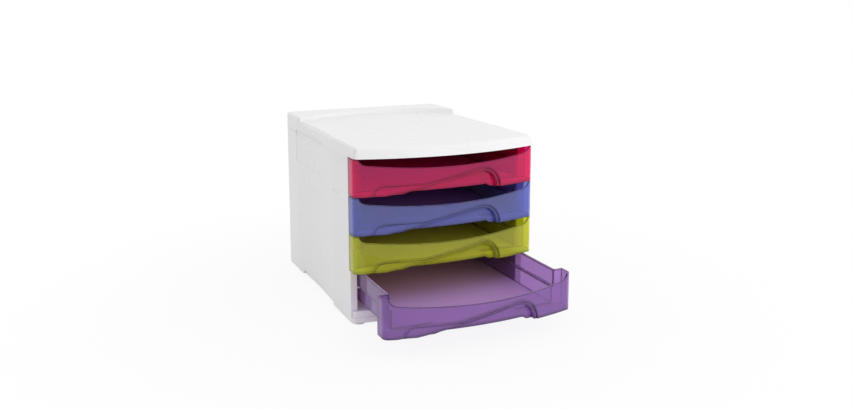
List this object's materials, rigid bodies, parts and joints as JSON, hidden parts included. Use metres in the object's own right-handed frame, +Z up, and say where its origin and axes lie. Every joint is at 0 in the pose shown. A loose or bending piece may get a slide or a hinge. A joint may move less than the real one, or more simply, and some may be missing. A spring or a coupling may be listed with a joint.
{
  "type": "drawer tower",
  "caption": "Desk-top drawer tower: white moulded cabinet with bowed lid, stepped base and translucent slide-out drawers with swept finger pulls",
  "frame": {"origin": "on the surface it stands on, under the middle of the tower's bounding box with the bottom drawer open as pictured", "axes": "+X to the right across the drawer fronts, +Y from the fronts to the back, +Z up"},
  "size_m": [0.288, 0.492, 0.2709],
  "materials": {
    "white_plastic": "smooth opaque moulded plastic",
    "red_plastic": "translucent tinted moulded plastic",
    "blue_plastic": "translucent tinted moulded plastic",
    "yellow_plastic": "translucent tinted moulded plastic",
    "violet_plastic": "translucent tinted moulded plastic",
    "foot_plastic": "soft non-slip plastic"
  },
  "bodies": {
    "cabinet": {"lid": "white_plastic", "base": "white_plastic", "back_panel": "white_plastic", "left_side_panel": "white_plastic", "right_side_panel": "white_plastic", "foot_front_left": "foot_plastic", "foot_front_right": "foot_plastic", "foot_rear_left": "foot_plastic", "foot_rear_right": "foot_plastic"},
    "top_drawer": {"drawer_1_red": "red_plastic"},
    "second_drawer": {"drawer_2_blue": "blue_plastic"},
    "third_drawer": {"drawer_3_yellow": "yellow_plastic"},
    "bottom_drawer": {"drawer_4_violet": "violet_plastic"}
  },
  "joints": [
    {"name": "top_drawer_slide", "type": "slide", "parent": "cabinet", "child": "top_drawer", "axis": [0, -1, 0], "range_m": [0, 0.24]},
    {"name": "second_drawer_slide", "type": "slide", "parent": "cabinet", "child": "second_drawer", "axis": [0, -1, 0], "range_m": [0, 0.24]},
    {"name": "third_drawer_slide", "type": "slide", "parent": "cabinet", "child": "third_drawer", "axis": [0, -1, 0], "range_m": [0, 0.24]},
    {"name": "bottom_drawer_slide", "type": "slide", "parent": "cabinet", "child": "bottom_drawer", "axis": [0, -1, 0], "range_m": [-0.112, 0.128]}
  ]
}
